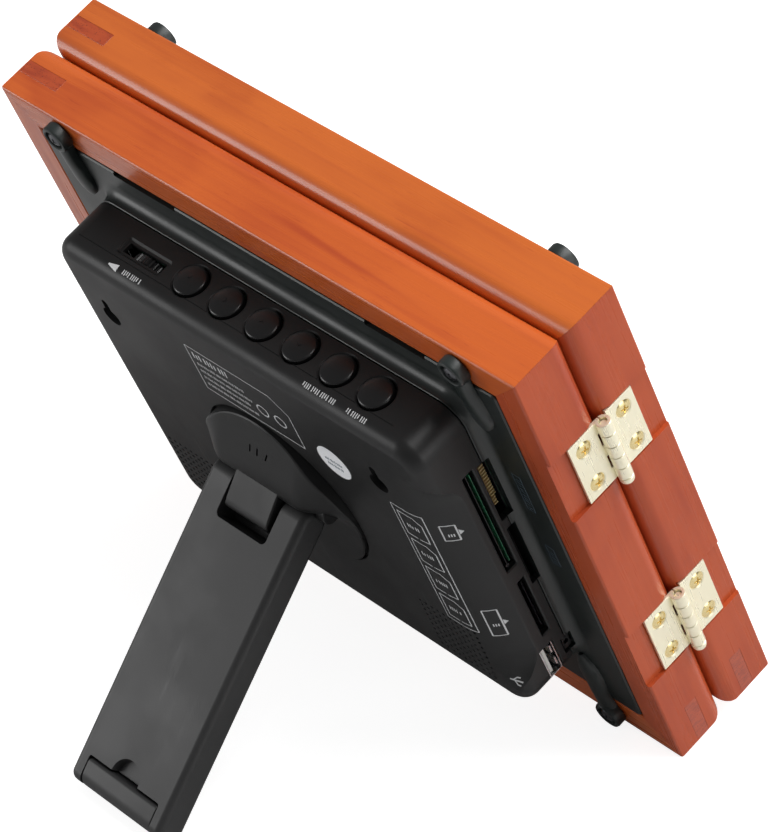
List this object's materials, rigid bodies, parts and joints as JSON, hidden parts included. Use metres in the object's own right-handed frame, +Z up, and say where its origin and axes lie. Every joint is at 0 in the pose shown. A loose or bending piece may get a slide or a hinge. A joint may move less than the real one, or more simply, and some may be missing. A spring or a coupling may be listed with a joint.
{
  "type": "digital photo frame",
  "caption": "Two hinged wooden picture frames closed like a book, one holding a display module with buttons, card slots and a folding prop leg on a turning disc.",
  "frame": {"origin": "middle of the footprint, on the surface the frame stands on", "axes": "+X to the right seen from the front, +Y from the display to the prop leg, +Z up"},
  "size_m": [0.2094, 0.163, 0.1763],
  "materials": {
    "cherry_wood": "satin lacquer",
    "cover_cherry_wood": "satin lacquer",
    "end_grain": "satin lacquer",
    "brass": "polished",
    "satin_black_plastic": "fine satin",
    "housing_plastic": "satin",
    "leg_plastic": "fine texture",
    "clip_plastic": "matt",
    "button_plastic": "semi gloss",
    "steel": "nickel plated",
    "circuit_board": "solder mask",
    "screen": "anti-glare",
    "clear_glass": "clear",
    "mat_card": "matt",
    "print_paper": "semi gloss",
    "fibreboard": "matt"
  },
  "bodies": {
    "root": {"frame_rail_top": "cherry_wood", "frame_rail_bottom": "cherry_wood", "frame_rail_left": "cherry_wood", "frame_rail_right": "cherry_wood", "frame_top_key": "end_grain", "frame_side_key": "end_grain", "upper_hinge_leaf": "brass", "lower_hinge_leaf": "brass", "upper_hinge_pin": "brass", "lower_hinge_pin": "brass", "frame_hinge_screw_1": "brass", "frame_hinge_screw_2": "brass", "frame_hinge_screw_3": "brass", "frame_hinge_screw_4": "brass", "front_housing": "housing_plastic", "rear_cover": "satin_black_plastic", "lcd_panel": "screen", "display_mat": "mat_card", "main_board": "circuit_board", "card_reader": "button_plastic", "usb_port": "steel", "power_jack": "button_plastic", "speaker_left": "button_plastic", "speaker_right": "button_plastic"},
    "cover": {"cover_rail_top": "cover_cherry_wood", "cover_rail_bottom": "cover_cherry_wood", "cover_rail_left": "cover_cherry_wood", "cover_rail_right": "cover_cherry_wood", "cover_top_key": "end_grain", "cover_side_key": "end_grain", "upper_hinge_cover_leaf": "brass", "lower_hinge_cover_leaf": "brass", "cover_hinge_screw_1": "brass", "cover_hinge_screw_2": "brass", "cover_hinge_screw_3": "brass", "cover_hinge_screw_4": "brass", "glass_pane": "clear_glass", "picture_mat": "mat_card", "photo_print": "print_paper", "backing_board": "fibreboard"},
    "stand_disc": {"stand_disc": "satin_black_plastic", "leg_pin": "steel", "disc_retainer": "steel"},
    "leg": {"leg": "leg_plastic"},
    "foot_flap": {"foot_flap": "leg_plastic"},
    "volume_wheel": {"volume_wheel": "button_plastic"},
    "button_1": {"button_1": "button_plastic"},
    "button_2": {"button_2": "button_plastic"},
    "button_3": {"button_3": "button_plastic"},
    "button_4": {"button_4": "button_plastic"},
    "button_5": {"button_5": "button_plastic"},
    "button_6": {"button_6": "button_plastic"},
    "frame_clip_1": {"frame_clip_1": "clip_plastic"},
    "frame_clip_2": {"frame_clip_2": "clip_plastic"},
    "frame_clip_3": {"frame_clip_3": "clip_plastic"},
    "frame_clip_4": {"frame_clip_4": "clip_plastic"},
    "cover_clip_1": {"cover_clip_1": "clip_plastic"},
    "cover_clip_2": {"cover_clip_2": "clip_plastic"},
    "cover_clip_3": {"cover_clip_3": "clip_plastic"},
    "cover_clip_4": {"cover_clip_4": "clip_plastic"}
  },
  "joints": [
    {"name": "cover_hinge", "type": "hinge", "parent": "root", "child": "cover", "pos_m": [-0.1025, -0.03543, 0.0881], "axis": [0, -0.2856, -0.9584], "range_deg": [0, 180]},
    {"name": "stand_turn", "type": "hinge", "parent": "root", "child": "stand_disc", "pos_m": [0.0007, 0.00478, 0.07544], "axis": [0, 0.9584, -0.2856], "range_deg": [-90, 90]},
    {"name": "leg_fold", "type": "hinge", "parent": "stand_disc", "child": "leg", "pos_m": [0.0007, 0.01428, 0.07616], "axis": [1, 0, 0], "range_deg": [-58.7, 0]},
    {"name": "foot_flap_swing", "type": "hinge", "parent": "leg", "child": "foot_flap", "pos_m": [0.0007, 0.07694, 0.00609], "axis": [1, 0, 0], "range_deg": [-90, 0]},
    {"name": "volume_turn", "type": "hinge", "parent": "root", "child": "volume_wheel", "pos_m": [0.0402, 0.01045, 0.13125], "axis": [0, 0.9584, -0.2856], "range_deg": [-135, 135]},
    {"name": "button_1_press", "type": "slide", "parent": "root", "child": "button_1", "axis": [0, -0.2856, -0.9584], "range_m": [0, 0.0006], "stiffness_N_per_m": 500},
    {"name": "button_2_press", "type": "slide", "parent": "root", "child": "button_2", "axis": [0, -0.2856, -0.9584], "range_m": [0, 0.0006], "stiffness_N_per_m": 500},
    {"name": "button_3_press", "type": "slide", "parent": "root", "child": "button_3", "axis": [0, -0.2856, -0.9584], "range_m": [0, 0.0006], "stiffness_N_per_m": 500},
    {"name": "button_4_press", "type": "slide", "parent": "root", "child": "button_4", "axis": [0, -0.2856, -0.9584], "range_m": [0, 0.0006], "stiffness_N_per_m": 500},
    {"name": "button_5_press", "type": "slide", "parent": "root", "child": "button_5", "axis": [0, -0.2856, -0.9584], "range_m": [0, 0.0006], "stiffness_N_per_m": 500},
    {"name": "button_6_press", "type": "slide", "parent": "root", "child": "button_6", "axis": [0, -0.2856, -0.9584], "range_m": [0, 0.0006], "stiffness_N_per_m": 500},
    {"name": "frame_clip_1_turn", "type": "hinge", "parent": "root", "child": "frame_clip_1", "pos_m": [0.0802, 0.00588, 0.16005], "axis": [0, 0.9584, -0.2856], "range_deg": [-150, 0]},
    {"name": "frame_clip_2_turn", "type": "hinge", "parent": "root", "child": "frame_clip_2", "pos_m": [-0.0793, 0.00588, 0.16005], "axis": [0, 0.9584, -0.2856], "range_deg": [0, 150]},
    {"name": "frame_clip_3_turn", "type": "hinge", "parent": "root", "child": "frame_clip_3", "pos_m": [-0.0768, -0.04023, 0.00528], "axis": [0, 0.9584, -0.2856], "range_deg": [-150, 0]},
    {"name": "frame_clip_4_turn", "type": "hinge", "parent": "root", "child": "frame_clip_4", "pos_m": [0.0802, -0.04023, 0.00528], "axis": [0, 0.9584, -0.2856], "range_deg": [0, 150]},
    {"name": "cover_clip_1_turn", "type": "hinge", "parent": "cover", "child": "cover_clip_1", "pos_m": [0.0802, -0.03063, 0.17093], "axis": [0, 0.9584, -0.2856], "range_deg": [-150, 0]},
    {"name": "cover_clip_2_turn", "type": "hinge", "parent": "cover", "child": "cover_clip_2", "pos_m": [-0.0793, -0.03063, 0.17093], "axis": [0, 0.9584, -0.2856], "range_deg": [0, 150]},
    {"name": "cover_clip_3_turn", "type": "hinge", "parent": "cover", "child": "cover_clip_3", "pos_m": [-0.0768, -0.07675, 0.01615], "axis": [0, 0.9584, -0.2856], "range_deg": [-150, 0]},
    {"name": "cover_clip_4_turn", "type": "hinge", "parent": "cover", "child": "cover_clip_4", "pos_m": [0.0802, -0.07675, 0.01615], "axis": [0, 0.9584, -0.2856], "range_deg": [0, 150]}
  ]
}
